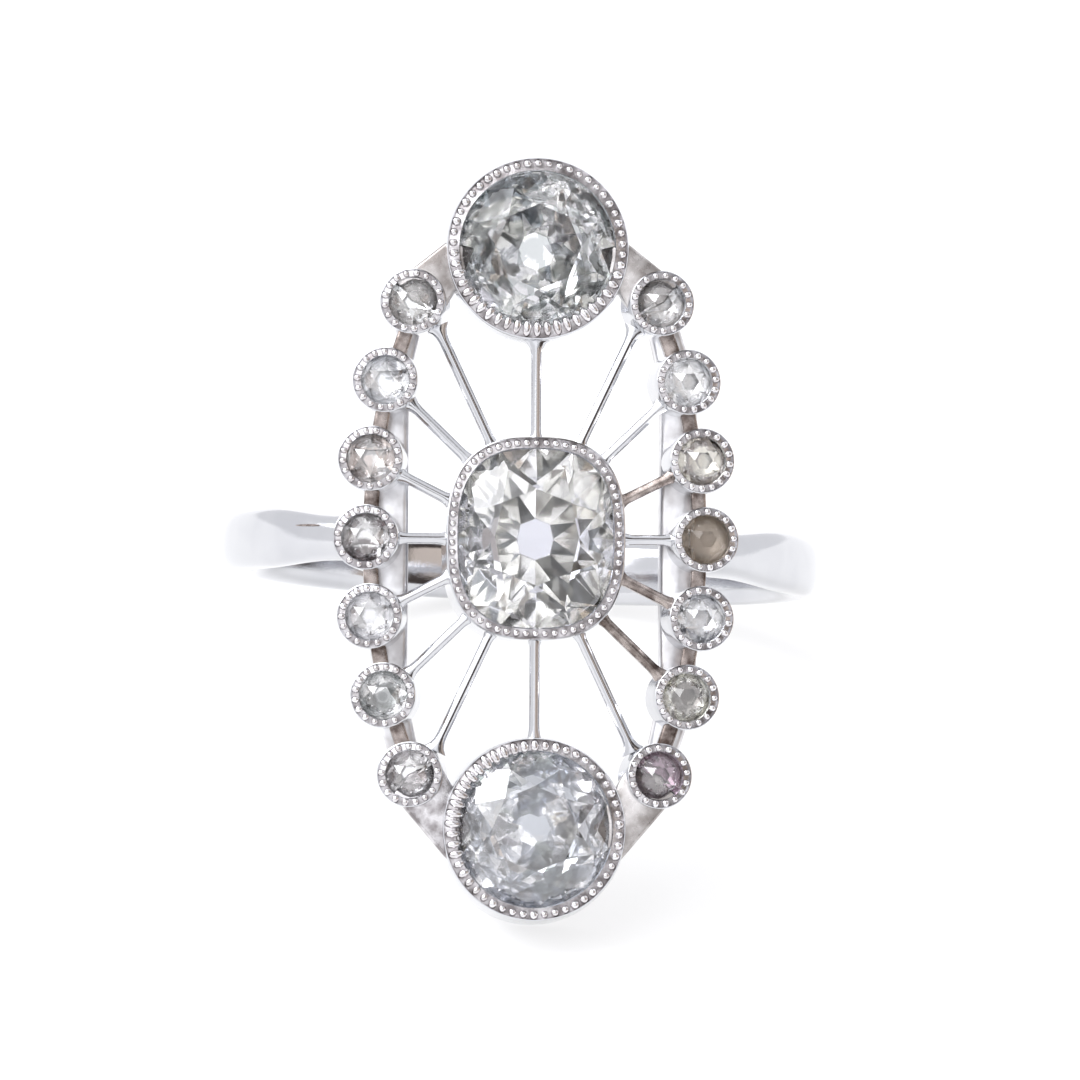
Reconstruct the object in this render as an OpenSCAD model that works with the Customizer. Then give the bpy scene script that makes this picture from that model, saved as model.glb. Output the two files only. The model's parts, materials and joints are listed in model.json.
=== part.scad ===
// Navette ring in white metal. A long openwork head carries a cushion-shaped centre stone,
// a large round stone at each end and a row of small rose-cut stones down each side.
// Lengths are in millimetres. Each piece is drawn with the finger along Y and the head
// facing up, with the middle of the finger at zero, and is then laid down as the ring rests:
// on the lower end of the head and on the back of the shank.

/* [Shank] */
// Inner diameter, which the finger passes through
bore_d = 17; // [16:0.25:19]
// Thickness of the shank
shank_t = 1.3; // [1.1:0.1:1.6]
// Width of the shank along the finger
shank_w = 2.1; // [1.8:0.1:2.6]
// Rounding of the outer corners of the shank
shank_round = 0.6; // [0.4:0.05:0.8]
// Width of the top of the shank where it meets the head
shoulder_w = 1.1; // [0.9:0.1:1.5]
// Length over which the shank narrows towards the head
shoulder_l = 3.4; // [2.5:0.1:4]

/* [Head] */
// Space between the finger and the underside of the head
head_gap = 0.5; // [0.4:0.05:0.8]
// Height of the centre setting and the end settings
setting_h = 2.4; // [2.3:0.1:2.8]
// Distance from the middle of the head to the centre of each end stone
end_y = 9.1; // [8.9:0.05:9.3]
// Half width of the oval line that the side stones follow
row_half_w = 5.35; // [5.2:0.05:5.6]
// Half length of that oval line
row_half_l = 10.9; // [10.6:0.1:11.2]
// Step along the finger from one side stone to the next
row_step = 2.47; // [2.4:0.01:2.5]
// Lean of the side settings away from the middle, in degrees
row_lean = 8; // [4:1:12]

/* [Centre setting] */
// Width of the centre stone
centre_w = 5.05; // [4.8:0.05:5.2]
// Length of the centre stone along the finger
centre_l = 5.8; // [5.6:0.05:6]
// Squareness of the centre stone, where 2 is a plain oval
centre_square = 2.7; // [2.3:0.1:3.2]
// Wall of the centre setting at its rim
centre_wall = 0.28; // [0.25:0.01:0.35]

/* [End settings] */
// Diameter of each end stone
end_d = 5.15; // [4.9:0.05:5.3]
// Wall of an end setting at its rim
end_wall = 0.28; // [0.24:0.01:0.34]
// How much wider an end setting is at its foot than at its rim, on each side
end_flare = 0.12; // [0.05:0.01:0.15]
// How far the side plates reach along the upper end setting, past its middle
upper_plate_reach = 0.2; // [0:0.1:0.6]
// How far the side plates reach along the lower end setting, past its middle
lower_plate_reach = 1; // [0.4:0.1:1.4]
// Half the spread of the solder where the upper spoke meets its setting, in degrees
upper_foot_a = 38; // [20:1:40]
// Half the spread of the solder where the lower spoke meets its setting, in degrees
lower_foot_a = 16; // [12:1:30]

/* [Side settings] */
// Diameter of each small side stone
side_d = 1.66; // [1.5:0.02:1.7]
// Wall of a side setting at its rim
side_wall = 0.2; // [0.18:0.01:0.24]
// Height of a side setting
side_h = 1.6; // [1.4:0.1:1.8]

/* [Openwork] */
// Width of a spoke
spoke_w = 0.32; // [0.26:0.02:0.4]
// Height of a spoke from its underside to its ridge
spoke_h = 0.6; // [0.5:0.05:0.8]
// Depth of the spoke ridge below the rims of the settings
spoke_drop = 0.45; // [0.35:0.05:0.6]
// Width of the two rails under the side settings
rail_w = 0.8; // [0.6:0.05:1]
// Height of the two rails
rail_h = 1.2; // [0.9:0.1:1.4]

/* [Hidden] */
$fn = 96;
// Clear space between a stone and the metal around it
fit = 0.04;
// Small overlap that lets cuts pass right through
cut = 0.5;
// Number of side stones in a row, and the number of the middle one
row_n = 7;
row_mid = (row_n + 1) / 2;
// Direction in which each spoke leaves the centre setting, in degrees from straight
// sideways, and how far towards the middle of the head it is aimed on its side setting.
// The rows go from the middle of the head to its end.
SPOKE_ANGLE = 0;
SPOKE_SHIFT = 1;
spokes = [[0, 0], [24, 0], [50, 0.1], [65, 0.45]];
// Points round the cushion-shaped setting
cushion_n = 48;

// Solder where a spoke meets a side setting: its length in front of the setting, and its
// width there as a share of the setting
foot_l = 0.45;
foot_share = 0.5;
// Bars that join each side setting to the next, and their height above its foot
link_w = 0.5;
link_h = 0.6;
link_up = 0.3;
// How far each link stands outside the line between the settings
link_out = 0.1;
// Thickness of the plates beside the end settings, the depth of their root in the end
// setting, and their outer and inner corners on the side setting, as shares of its radius
plate_t = 0.8;
plate_root = 0.7;
plate_outer = [0.5, 0.6];
plate_inner = [-0.9, -0.4];
// The rails overlap the side settings by this much, and turn in by this much at the ends
rail_lap = 0.35;
rail_turn_in = 0.4;
// How far the uprights on the shoulders stand out beyond the rails
post_out = 0.3;

// Levels, measured up from the middle of the finger
bore_r = bore_d / 2;
foot_z = bore_r + head_gap;
rim_z = foot_z + setting_h;
side_foot_z = rim_z - side_h;
spoke_z = rim_z - spoke_drop;

// A stone's girdle lies this far below its rim, and is this thick
girdle_drop = 0.42;
girdle_t = 0.1;
// Reach of the rim over the edge of the stone, and the height over which it closes in
lip = 0.1;
lip_h = 0.2;
// Width of the metal seat under the edge of a large stone, and of a small one
seat_w = 0.3;
side_seat_w = 0.2;
// How much wider the centre setting is at its foot than at its rim, on each side
centre_flare = 0.08;

// Proportions of a large stone as shares of its half width: the table, the ring of points
// between table and girdle, the ring below the girdle, and the open culet
table_share = 0.52;
star_share = 0.78;
lower_share = 0.52;
culet_share = 0.22;
crown_h = 0.95;
pavilion_h = 1.95;
// The same for a small rose-cut stone, which is flat underneath
rose_table_share = 0.34;
rose_star_share = 0.7;
rose_h = 0.55;
rose_drop = 0.4;

// Levels of the seat and the lip round a large stone, with the rim at zero. The seat slopes
// a little more steeply than the underside of the stone.
seat_z = -girdle_drop - girdle_t - fit;
seat_slope = 1.1 * pavilion_h / (1 - culet_share);
lip_z = -girdle_drop + fit;

// Half sizes of the stones and their settings
centre_half_w = centre_w / 2;
centre_half_l = centre_l / 2;
end_r = end_d / 2;
end_rim_r = end_r + end_wall;
end_foot_r = end_rim_r + end_flare;
side_r = side_d / 2;
side_rim_r = side_r + side_wall;

// Place of a side stone's centre. Number 1 is nearest the upper end of the head.
function row_y(i) = (row_mid - i) * row_step;
function row_x(i) = row_half_w * sqrt(1 - pow(row_y(i) / row_half_l, 2));

// The outside of the shank, and the middle line of each rail, which runs straight under the
// side settings and turns in at both ends to follow the row
shank_outer_r = bore_r + shank_t;
rail_x = row_half_w - side_rim_r + rail_w / 2;
rail_top_z = side_foot_z + rail_lap;
rail_bottom_z = rail_top_z - rail_h;

// The angle at which the ring rests. Its lowest points are the foot of the lower end
// setting and the rounded outer edge of the shank at the back.
edge_y = shank_w / 2 - shank_round;
edge_z = shank_outer_r - shank_round;
tip_y = end_y + end_foot_r;
reach_y = tip_y - edge_y;
reach_z = foot_z + edge_z;
rest_a = acos(shank_round / norm([reach_y, reach_z])) - atan2(reach_z, reach_y);
rest_h = tip_y * cos(rest_a) - foot_z * sin(rest_a);

// The ring is centred front to back between the rim of the lower end setting and the
// back of the shank
front_y = (end_y + end_rim_r) * sin(rest_a) + rim_z * cos(rest_a);
back_y = edge_y * sin(rest_a) + edge_z * cos(rest_a) + shank_round;
rest_y = (front_y - back_y) / 2;

SIDES = ["left", "right"];

// Turns the ring from the upright working frame to the way it rests
module laid_down()
    translate([0, rest_y, rest_h]) rotate([90 - rest_a, 0, 0]) children();

// Moves a piece drawn with its rim at zero to the side setting with this number
module at_side(s, i)
    translate([s * row_x(i), row_y(i), rim_z]) rotate([0, s * row_lean, 0]) children();

// Moves a piece drawn with its rim at zero to the upper or the lower end of the head
module at_end(s) translate([0, s * end_y, rim_z]) children();

// A point on a cushion outline with these half sizes, at this step of the curve
function signed_power(v, p) = sign(v) * pow(abs(v), p);
function cushion(half_w, half_l, square, a) =
    [half_w * signed_power(cos(a), 2 / square), half_l * signed_power(sin(a), 2 / square)];

// The point of that outline in a given direction from the middle
function cushion_towards(half_w, half_l, square, a) =
    pow(pow(abs(cos(a)) / half_w, square) + pow(abs(sin(a)) / half_l, square), -1 / square)
    * [cos(a), sin(a)];

// A closed stack of cushion outlines, one for each [inset, height] pair from the bottom up
module cushion_stack(half_w, half_l, square, levels) {
    last = len(levels) - 1;
    ring = [for (k = [0:cushion_n - 1]) 360 * k / cushion_n];
    points = [for (v = levels) for (a = ring)
        concat(cushion(half_w - v[0], half_l - v[0], square, a), v[1])];
    sides = [for (j = [0:last - 1]) for (k = [0:cushion_n - 1])
        let (next = (k + 1) % cushion_n, low = j * cushion_n, high = low + cushion_n)
        [low + k, high + k, high + next, low + next]];
    bottom = [for (k = [0:cushion_n - 1]) k];
    top = [for (k = [cushion_n - 1:-1:0]) last * cushion_n + k];
    polyhedron(points, concat([bottom], sides, [top]), convexity = 4);
}

// The eight-sided cut of the large stones, with its rim level at zero: table, star facets,
// kites, upper and lower girdle facets, pavilion and an open culet
module old_cut(half_w, half_l, square) {
    n = 8;
    step = 360 / n;
    top_z = -girdle_drop;
    low_z = top_z - girdle_t;
    function rise(share, full) = full * (1 - share * cos(step / 2));
    crown = crown_h / (1 - table_share);
    pavilion = pavilion_h / (1 - culet_share);
    function ring(share, count, turn, z) = [for (k = [0:count - 1])
        concat(share * cushion_towards(half_w, half_l, square, (k + turn) * 360 / count), z)];
    points = concat(
        ring(table_share, n, 0, top_z + crown_h),
        ring(star_share, n, 0.5, top_z + rise(star_share, crown)),
        ring(1, 2 * n, 0, top_z),
        ring(1, 2 * n, 0, low_z),
        ring(lower_share, n, 0.5, low_z - rise(lower_share, pavilion)),
        ring(culet_share, n, 0, low_z - pavilion_h));
    function table(i) = i % n;
    function star(i) = n + i % n;
    function upper(i) = 2 * n + i % (2 * n);
    function lower(i) = 4 * n + i % (2 * n);
    function deep(i) = 6 * n + i % n;
    function culet(i) = 7 * n + i % n;
    faces = concat(
        [[for (i = [n - 1:-1:0]) table(i)]],
        [for (i = [0:n - 1]) each [
            [table(i), table(i + 1), star(i)],
            [table(i), star(i), upper(2 * i), star(i + n - 1)],
            [star(i), upper(2 * i + 1), upper(2 * i)],
            [star(i), upper(2 * i + 2), upper(2 * i + 1)],
            [deep(i), lower(2 * i), lower(2 * i + 1)],
            [deep(i), lower(2 * i + 1), lower(2 * i + 2)],
            [culet(i), deep(i + n - 1), lower(2 * i), deep(i)],
            [culet(i), deep(i), culet(i + 1)]]],
        [for (j = [0:2 * n - 1]) [upper(j), upper(j + 1), lower(j + 1), lower(j)]],
        [[for (i = [0:n - 1]) culet(i)]]);
    polyhedron(points, faces, convexity = 2);
}

// A rose-cut stone, domed with a small table and flat underneath, with its rim at zero
module rose_cut(r) {
    n = 6;
    step = 360 / n;
    top_z = -rose_drop;
    low_z = top_z - girdle_t;
    slope = rose_h / (1 - rose_table_share);
    function ring(share, count, turn, z) = [for (k = [0:count - 1])
        let (a = (k + turn) * 360 / count) [share * r * cos(a), share * r * sin(a), z]];
    points = concat(
        ring(rose_table_share, n, 0, top_z + rose_h),
        ring(rose_star_share, n, 0.5, top_z + slope * (1 - rose_star_share * cos(step / 2))),
        ring(1, 2 * n, 0, top_z),
        ring(1, 2 * n, 0, low_z));
    function table(i) = i % n;
    function star(i) = n + i % n;
    function upper(i) = 2 * n + i % (2 * n);
    function lower(i) = 4 * n + i % (2 * n);
    faces = concat(
        [[for (i = [n - 1:-1:0]) table(i)]],
        [for (i = [0:n - 1]) each [
            [table(i), table(i + 1), star(i)],
            [table(i), star(i), upper(2 * i), star(i + n - 1)],
            [star(i), upper(2 * i + 1), upper(2 * i)],
            [star(i), upper(2 * i + 2), upper(2 * i + 1)]]],
        [for (j = [0:2 * n - 1]) [upper(j), upper(j + 1), lower(j + 1), lower(j)]],
        [[for (j = [0:2 * n - 1]) lower(j)]]);
    polyhedron(points, faces, convexity = 2);
}

// The solid of a round setting, with its rim at zero
module round_setting(rim_r, foot_r, h)
    translate([0, 0, -h]) cylinder(r1 = foot_r, r2 = rim_r, h = h);

// What is cut out of a round setting: the open back, the seat, the space for the edge of
// the stone and the narrower mouth under the lip, which starts at the top of the edge
module round_cavity(r, h, seat, seat_drop, edge_top)
    rotate_extrude() polygon([
        [0, -h - cut], [r - seat, -h - cut], [r - seat, edge_top - girdle_t - fit - seat_drop],
        [r + fit, edge_top - girdle_t - fit], [r + fit, edge_top + fit],
        [r - lip, edge_top + fit + lip_h], [r - lip, cut], [0, cut]]);

module end_setting() round_setting(end_rim_r, end_foot_r, setting_h);

module end_cavity()
    round_cavity(end_r, setting_h, seat_w, seat_slope * seat_w / end_r, -girdle_drop);

module side_setting() round_setting(side_rim_r, side_rim_r, side_h);

module side_cavity() round_cavity(side_r, side_h, side_seat_w, 0, -rose_drop);

module centre_setting()
    cushion_stack(centre_half_w, centre_half_l, centre_square,
        [[-centre_wall - centre_flare, -setting_h], [-centre_wall, 0]]);

module centre_cavity() {
    drop = seat_slope * seat_w / centre_half_w;
    cushion_stack(centre_half_w, centre_half_l, centre_square, [
        [seat_w, -setting_h - cut], [seat_w, seat_z - drop], [-fit, seat_z],
        [-fit, lip_z], [lip, lip_z + lip_h], [lip, cut]]);
}

// A bar of knife-edge wire from one point to another, seen from above
module spoke(from, to) {
    run = to - from;
    section = [[-spoke_w / 2, -spoke_h], [spoke_w / 2, -spoke_h], [spoke_w / 2, -spoke_w],
        [0, 0], [-spoke_w / 2, -spoke_w]];
    translate([from[0], from[1], spoke_z]) rotate([0, 0, atan2(run[1], run[0])])
        rotate([90, 0, 90]) linear_extrude(norm(run)) polygon(section);
}

// The solder foot where a spoke meets a side setting
module spoke_foot(from, to) {
    run = (to - from) / norm(to - from);
    root = to - run * (side_rim_r + foot_l);
    side = [-run[1], run[0]];
    translate([0, 0, spoke_z - spoke_h]) linear_extrude(spoke_h - spoke_w / 2)
        polygon([root + side * spoke_w / 2, root - side * spoke_w / 2,
            to - side * side_rim_r * foot_share, to + side * side_rim_r * foot_share]);
}

// The end of spoke number k, and the start of it on the centre setting, on side s and
// towards the upper or lower end e
function spoke_end(s, e, k) =
    [s * (row_x(row_mid - k) - spokes[k][SPOKE_SHIFT]), e * row_y(row_mid - k)];
function spoke_start(s, e, k) =
    let (p = cushion_towards(centre_half_w, centre_half_l, centre_square, spokes[k][SPOKE_ANGLE]))
    [s * p[0], e * p[1]];

module side_spokes()
    for (s = [-1, 1]) for (e = [-1, 1]) for (k = [0:row_mid - 1]) if (k > 0 || e > 0) {
        spoke(spoke_start(s, e, k), spoke_end(s, e, k));
        spoke_foot(spoke_start(s, e, k), spoke_end(s, e, k));
    }

// The spokes to the two end settings, each with solder that spreads along the setting
module end_spokes()
    for (e = [-1, 1]) {
        spread = e > 0 ? upper_foot_a : lower_foot_a;
        half = end_rim_r * [sin(spread), cos(spread)];
        tip = end_y - end_rim_r / cos(spread) + spoke_w / 2 * tan(spread);
        spoke([0, e * centre_half_l], [0, e * (end_y - end_r)]);
        translate([0, 0, spoke_z - spoke_h]) linear_extrude(spoke_h - spoke_w / 2) polygon([
            [-spoke_w / 2, e * tip], [spoke_w / 2, e * tip],
            [half[0], e * (end_y - half[1])], [-half[0], e * (end_y - half[1])]]);
    }

// Short bars that join each side setting to the next
module links()
    for (s = [-1, 1]) for (i = [1:row_n - 1]) {
        a = [s * row_x(i), row_y(i)];
        b = [s * row_x(i + 1), row_y(i + 1)];
        run = b - a;
        translate([a[0] + s * link_out, a[1], side_foot_z + link_up])
            rotate([0, 0, atan2(run[1], run[0])])
                translate([0, -link_w / 2, 0]) cube([norm(run), link_w, link_h]);
    }

// Three-cornered plates between each end setting and the side settings next to it
module plates()
    for (s = [-1, 1]) for (e = [-1, 1]) {
        side = [row_x(1), row_y(1)];
        reach = e > 0 ? upper_plate_reach : lower_plate_reach;
        edge_x = sqrt(pow(end_rim_r, 2) - pow(reach, 2));
        outline = [[end_r * plate_root, end_y], [edge_x, end_y + reach],
            side + side_rim_r * plate_outer, side, side + side_rim_r * plate_inner];
        translate([0, 0, spoke_z - spoke_h]) linear_extrude(plate_t)
            polygon([for (p = outline) [s * p[0], e * p[1]]]);
    }

// The two rails under the side settings
module rails() {
    inner_x = rail_x - rail_w / 2;
    bend_y = row_y(2);
    end_x = row_x(1) - rail_turn_in;
    outline = [[inner_x, -bend_y], [inner_x, bend_y], [end_x, row_y(1)],
        [end_x + rail_w, row_y(1)], [inner_x + rail_w, bend_y], [inner_x + rail_w, -bend_y],
        [end_x + rail_w, -row_y(1)], [end_x, -row_y(1)]];
    for (s = [-1, 1]) translate([0, 0, rail_bottom_z]) linear_extrude(rail_h)
        polygon([for (p = outline) [s * p[0], p[1]]]);
}

// The shank, a flat band with rounded outer corners, open above between the two rails
module shank() {
    difference() {
        rotate([90, 0, 0]) rotate_extrude() shank_section();
        translate([-rail_x, -shank_w, 0])
            cube([2 * rail_x, 2 * shank_w, shank_outer_r + cut]);
        shoulder_cuts();
    }
    shoulder_posts();
}

module shank_section() {
    inner_w = shank_w / 2;
    translate([bore_r, -inner_w]) square([shank_t - shank_round, shank_w]);
    translate([bore_r, -inner_w + shank_round]) square([shank_t, shank_w - 2 * shank_round]);
    for (e = [-1, 1])
        translate([shank_outer_r - shank_round, e * (inner_w - shank_round)]) circle(shank_round);
}

// Slanting cuts that narrow the top of each shoulder towards the head
module shoulder_cuts() {
    start_x = rail_x + shoulder_l;
    narrow = (shank_w - shoulder_w) / 2;
    turn = atan2(narrow, shoulder_l);
    for (s = [-1, 1]) for (e = [-1, 1])
        translate([s * start_x, e * shank_w / 2, 0])
            mirror([s < 0 ? 1 : 0, 0, 0]) mirror([0, e < 0 ? 1 : 0, 0])
                rotate([0, 0, turn]) translate([-2 * shoulder_l, 0, 0])
                    cube([2 * shoulder_l, shank_w, shank_outer_r + cut]);
}

// Upright stretches that carry the rails on the ends of the shank
module shoulder_posts() {
    low_z = sqrt(pow(bore_r, 2) - pow(rail_x, 2));
    for (s = [-1, 1])
        translate([s * (rail_x + post_out / 2) - (rail_w + post_out) / 2, -shoulder_w / 2, low_z])
            cube([rail_w + post_out, shoulder_w, rail_bottom_z + rail_h / 2 - low_z]);
}

// All the metal, soldered into one piece
module ring_mount() color("gainsboro") laid_down() difference() {
    union() {
        shank();
        rails();
        links();
        plates();
        side_spokes();
        end_spokes();
        translate([0, 0, rim_z]) centre_setting();
        for (e = [-1, 1]) at_end(e) end_setting();
        for (s = [-1, 1]) for (i = [1:row_n]) at_side(s, i) side_setting();
    }
    rotate([90, 0, 0]) cylinder(r = bore_r, h = 2 * tip_y + cut, center = true);
    translate([0, 0, rim_z]) centre_cavity();
    for (e = [-1, 1]) at_end(e) end_cavity();
    for (s = [-1, 1]) for (i = [1:row_n]) at_side(s, i) side_cavity();
}

module centre_stone() color("whitesmoke") laid_down()
    translate([0, 0, rim_z]) old_cut(centre_half_w, centre_half_l, centre_square);

module end_stone(e) color("lightsteelblue") laid_down() at_end(e) old_cut(end_r, end_r, 2);

module side_stone(s, i) color("aliceblue") laid_down() at_side(s, i) rose_cut(side_r);

ring_mount();
centre_stone();
end_stone(1);  // upper_stone
end_stone(-1);  // lower_stone
for (i = [1:row_n]) {
    side_stone(-1, i);
    side_stone(1, i);
}
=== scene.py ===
# Navette ring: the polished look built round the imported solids, with the photograph's camera and studio
import json
import math
import random

import bmesh
import bpy
from mathutils import Matrix, Vector


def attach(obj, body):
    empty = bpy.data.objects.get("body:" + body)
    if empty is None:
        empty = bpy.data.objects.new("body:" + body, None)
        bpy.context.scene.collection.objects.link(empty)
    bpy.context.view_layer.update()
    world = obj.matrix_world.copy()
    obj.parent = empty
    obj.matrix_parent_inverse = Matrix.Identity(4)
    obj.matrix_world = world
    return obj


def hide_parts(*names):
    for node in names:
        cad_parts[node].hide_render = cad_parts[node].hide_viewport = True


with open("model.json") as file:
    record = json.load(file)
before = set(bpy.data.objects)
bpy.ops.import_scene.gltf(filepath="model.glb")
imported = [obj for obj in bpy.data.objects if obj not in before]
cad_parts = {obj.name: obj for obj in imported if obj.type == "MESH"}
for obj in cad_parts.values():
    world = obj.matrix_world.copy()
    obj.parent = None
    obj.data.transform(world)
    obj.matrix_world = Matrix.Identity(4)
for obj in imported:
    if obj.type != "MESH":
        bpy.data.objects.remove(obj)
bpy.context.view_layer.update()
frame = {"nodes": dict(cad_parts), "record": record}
print("Frame loaded,", len(frame["nodes"]), "nodes")

# The pieces are modelled in millimetres as the ring is worn: finger along Y, head up, finger at zero.
# The record's finger bore says how that lies on the table.
bore = frame["record"]["mounts"][0]
fingerAxis = Vector(bore["axis"])
sideAxis = Vector((1, 0, 0))
headAxis = sideAxis.cross(fingerAxis)
axes = (sideAxis, fingerAxis, headAxis)
ringTurn = Matrix(axes).transposed().to_4x4()
ringPlace = Matrix.Translation(Vector(bore["pos_m"])) @ ringTurn @ Matrix.Scale(0.001, 4)

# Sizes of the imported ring, in millimetres
ring = {
    "boreR": 8.5, "shankT": 1.3, "shankW": 2.1,
    "rimZ": 11.4, "endY": 9.1, "rowHalfW": 5.35, "rowHalfL": 10.9, "rowStep": 2.47, "rowLean": 8,
    "centreHalfW": 2.525, "centreHalfL": 2.9, "centreSquare": 2.7,
    "endR": 2.575, "endWall": 0.28, "sideR": 0.83, "sideWall": 0.2, "sideH": 1.6,
    "spokeDrop": 0.45, "railW": 0.8, "railH": 1.2, "railRise": 0.35,
}
endR = ring["endR"]
endRim = endR + ring["endWall"]
sideRim = ring["sideR"] + ring["sideWall"]
railX = ring["rowHalfW"] - sideRim + ring["railW"] / 2
sideFootZ = ring["rimZ"] - ring["sideH"]
railTopZ = sideFootZ + ring["railRise"]
spokeZ = ring["rimZ"] - ring["spokeDrop"]


def rowY(number):
    return (4 - number) * ring["rowStep"]


def rowX(number):
    return ring["rowHalfW"] * math.sqrt(1 - (rowY(number) / ring["rowHalfL"]) ** 2)


def cushionPoint(halfW, halfL, angle):  # superellipse, as the stone is cut
    power = 2 / ring["centreSquare"]
    c, s = math.cos(angle), math.sin(angle)
    return Vector((halfW * math.copysign(abs(c) ** power, c), halfL * math.copysign(abs(s) ** power, s), 0))


def cushionToward(halfW, halfL, angle):  # where a ray from the middle meets it
    n = ring["centreSquare"]
    c, s = math.cos(angle), math.sin(angle)
    reach = ((abs(c) / halfW) ** n + (abs(s) / halfL) ** n) ** (-1 / n)
    return Vector((reach * c, reach * s, 0))


# Modelling helpers
def selectNone():
    if bpy.context.object and bpy.context.object.mode != "OBJECT":
        bpy.ops.object.mode_set(mode="OBJECT")
    bpy.ops.object.select_all(action="DESELECT")


def only(piece):
    selectNone()
    piece.select_set(True)
    bpy.context.view_layer.objects.active = piece


def pick(piece, test):  # selects the points that pass the test, in edit mode
    mesh = bmesh.from_edit_mesh(piece.data)
    for part in (*mesh.verts, *mesh.edges, *mesh.faces):
        part.select = False
    for vert in mesh.verts:
        if test(vert):
            vert.select_set(True)
    mesh.select_flush_mode()
    bmesh.update_edit_mesh(piece.data)


def copyOf(piece, place=None, name="copy"):  # each copy has its own mesh
    twin = bpy.data.objects.new(name, piece.data.copy())
    bpy.context.collection.objects.link(twin)
    if place is not None:
        twin.data.transform(place)
    return twin


def joined(pieces, name):
    selectNone()
    for piece in pieces:
        piece.select_set(True)
    bpy.context.view_layer.objects.active = pieces[0]
    bpy.ops.object.join()
    pieces[0].name = name
    return pieces[0]


def applyAll(piece):
    only(piece)
    for modifier in list(piece.modifiers):
        bpy.ops.object.modifier_apply(modifier=modifier.name)


def bevelled(piece, width, segments=3, angle=30):
    modifier = piece.modifiers.new("softEdges", "BEVEL")
    modifier.width, modifier.segments, modifier.limit_method = width, segments, "ANGLE"
    modifier.angle_limit = math.radians(angle)
    applyAll(piece)


def finished(piece, name, materials, sharp=35):  # puts the piece on the table and dresses it
    only(piece)
    piece.name = piece.data.name = name
    piece.data.transform(ringPlace)
    bpy.ops.object.shade_smooth_by_angle(angle=math.radians(sharp))
    places = [0] * len(piece.data.polygons)
    piece.data.polygons.foreach_get("material_index", places)
    piece.data.materials.clear()
    for material in materials:
        piece.data.materials.append(material)
    piece.data.polygons.foreach_set("material_index", places)
    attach(piece, "root")
    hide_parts("ring_mount")
    return piece


# Materials
def colour(code):  # sRGB hex to linear
    parts = [int(code[i:i + 2], 16) / 255 for i in (1, 3, 5)]
    return tuple(p / 12.92 if p <= 0.04045 else ((p + 0.055) / 1.055) ** 2.4 for p in parts) + (1,)


def addNode(tree, kind, settings=None, inputs=None):  # an input that is given a socket is linked to it
    node = tree.nodes.new(kind)
    for key, value in (settings or {}).items():
        setattr(node, key, value)
    for key, value in (inputs or {}).items():
        if isinstance(value, bpy.types.NodeSocket):
            tree.links.new(value, node.inputs[key])
        else:
            node.inputs[key].default_value = value
    return node


def newMaterial(name):
    material = bpy.data.materials.new(name)
    material.use_nodes = True
    material.node_tree.nodes.clear()
    tree = material.node_tree
    output = addNode(tree, "ShaderNodeOutputMaterial")
    return material, tree, output, addNode(tree, "ShaderNodeTexCoord").outputs["Object"]


def metalMaterial(name, look):
    material, tree, output, place = newMaterial(name)
    blotch = addNode(tree, "ShaderNodeTexNoise", None, {
        "Vector": place, "Scale": 1000 / look["blotchMm"], "Detail": 3.0})
    scuff = addNode(tree, "ShaderNodeTexNoise", None, {
        "Vector": place, "Scale": 1000 / look["scuffMm"], "Detail": 4.0, "Roughness": 0.7})
    tone = addNode(tree, "ShaderNodeValToRGB", None, {"Fac": blotch.outputs["Fac"]})
    low, high = tone.color_ramp.elements
    low.position, high.position = 0.35, 0.62
    low.color, high.color = colour(look["dark"]), colour(look["light"])
    rough = addNode(tree, "ShaderNodeMapRange", None, {
        "Value": scuff.outputs["Fac"], "From Min": 0.3, "From Max": 0.7,
        "To Min": look["rough"][0], "To Max": look["rough"][1]})
    bump = addNode(tree, "ShaderNodeBump", None, {
        "Height": scuff.outputs["Fac"], "Strength": look["bump"], "Distance": scuffDeepMm / 1000})
    shader = addNode(tree, "ShaderNodeBsdfPrincipled", None, {
        "Base Color": tone.outputs["Color"], "Metallic": 1.0,
        "Roughness": rough.outputs["Result"], "Normal": bump.outputs["Normal"]})
    tree.links.new(shader.outputs["BSDF"], output.inputs["Surface"])
    return material


scuffDeepMm = 0.02

# Platinum alloy, hand polished: near-mirror, cool white, with hairline scuffs from wear
polishedPlatinum = metalMaterial("polishedPlatinum", {
    "light": "#D3D4D7", "dark": "#CBCCD0", "blotchMm": 2.4, "scuffMm": 0.12, "rough": (0.05, 0.13), "bump": 0.12})
# The same alloy cut with a millegrain wheel: bright beads
brightBeads = metalMaterial("brightBeads", {
    "light": "#E9E8EA", "dark": "#CFCBCC", "blotchMm": 0.5, "scuffMm": 0.1, "rough": (0.08, 0.18), "bump": 0.1})
# Rails under the side settings, where the polishing wheel only just reaches: satin grey
satinPlatinum = metalMaterial("satinPlatinum", {
    "light": "#F0F0F2", "dark": "#C6C4C5", "blotchMm": 0.9, "scuffMm": 0.14, "rough": (0.28, 0.42), "bump": 0.2})
# Floors of the bead grooves, insides of the settings and the lower left plate: a thin grey film over the polish, and
# painted shade where these lie in shade
filmAndShadePlatinum = metalMaterial("filmAndShadePlatinum", {
    "light": "#DAD8DA", "dark": "#8E898A", "blotchMm": 0.45, "scuffMm": 0.08, "rough": (0.16, 0.3), "bump": 0.25})
# Plates beside the end settings: dull and grey, with darker tones that partly paint the shade the plates lie in
dulledAndShadedPlatinum = metalMaterial("dulledAndShadedPlatinum", {
    "light": "#DCD9D8", "dark": "#96908D", "blotchMm": 0.9, "scuffMm": 0.12, "rough": (0.22, 0.38), "bump": 0.25})
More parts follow.
